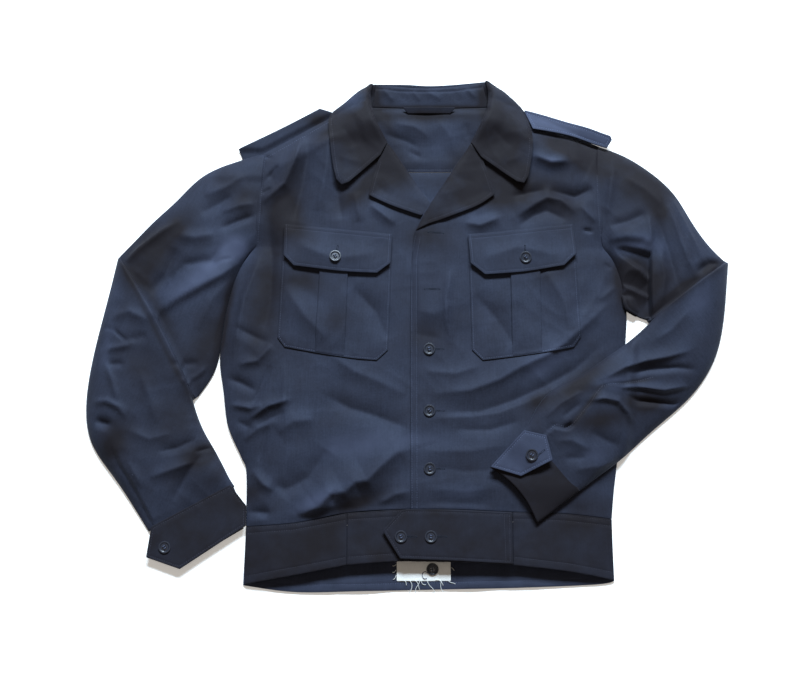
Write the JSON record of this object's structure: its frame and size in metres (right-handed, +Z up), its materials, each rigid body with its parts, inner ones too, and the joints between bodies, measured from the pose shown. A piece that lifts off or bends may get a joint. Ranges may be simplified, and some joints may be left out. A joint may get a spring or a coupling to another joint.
{
  "type": "military windbreaker jacket, laid flat",
  "caption": "Navy military windbreaker jacket laid flat on its back, open collar, button front, flap chest pockets, shoulder straps and buttoned waistband.",
  "frame": {"origin": "middle of the laid jacket's length and width, on the surface that its back lies on", "axes": "+X towards the wearer's left sleeve, +Y from the hem to the collar, +Z up, out of the front"},
  "size_m": [0.799, 0.6554, 0.0342],
  "materials": {
    "shell_cloth": "fine plain weave with a faint sheen",
    "buttons": "polished rim",
    "label_cloth": "plain woven label, blank"
  },
  "bodies": {
    "root": {"back": "shell_cloth", "back_yoke": "shell_cloth", "front_right": "shell_cloth", "front_left": "shell_cloth", "sleeve_right": "shell_cloth", "sleeve_left": "shell_cloth", "pocket_right": "shell_cloth", "pocket_left": "shell_cloth", "pocket_pleat_right": "shell_cloth", "pocket_pleat_left": "shell_cloth", "pocket_flap_right": "shell_cloth", "pocket_flap_left": "shell_cloth", "collar_fall_right": "shell_cloth", "collar_fall_left": "shell_cloth", "collar_fall_back": "shell_cloth", "collar_stand": "shell_cloth", "lapel_right": "shell_cloth", "lapel_left": "shell_cloth", "hanger_loop": "shell_cloth", "epaulette_right": "shell_cloth", "epaulette_left": "shell_cloth", "cuff_right": "shell_cloth", "cuff_left": "shell_cloth", "cuff_tab_right": "shell_cloth", "cuff_tab_left": "shell_cloth", "waistband_back": "shell_cloth", "waistband_right_side": "shell_cloth", "waistband_right_front": "shell_cloth", "waistband_left_front": "shell_cloth", "waistband_left_side": "shell_cloth", "waist_tab": "shell_cloth", "button_front_1": "buttons", "button_front_2": "buttons", "button_front_3": "buttons", "button_front_4": "buttons", "button_front_5": "buttons", "button_flap_right": "buttons", "button_flap_left": "buttons", "button_cuff_right": "buttons", "button_cuff_left": "buttons", "button_waist_1": "buttons", "button_waist_2": "buttons", "button_spare": "buttons", "label": "label_cloth"}
  },
  "joints": []
}
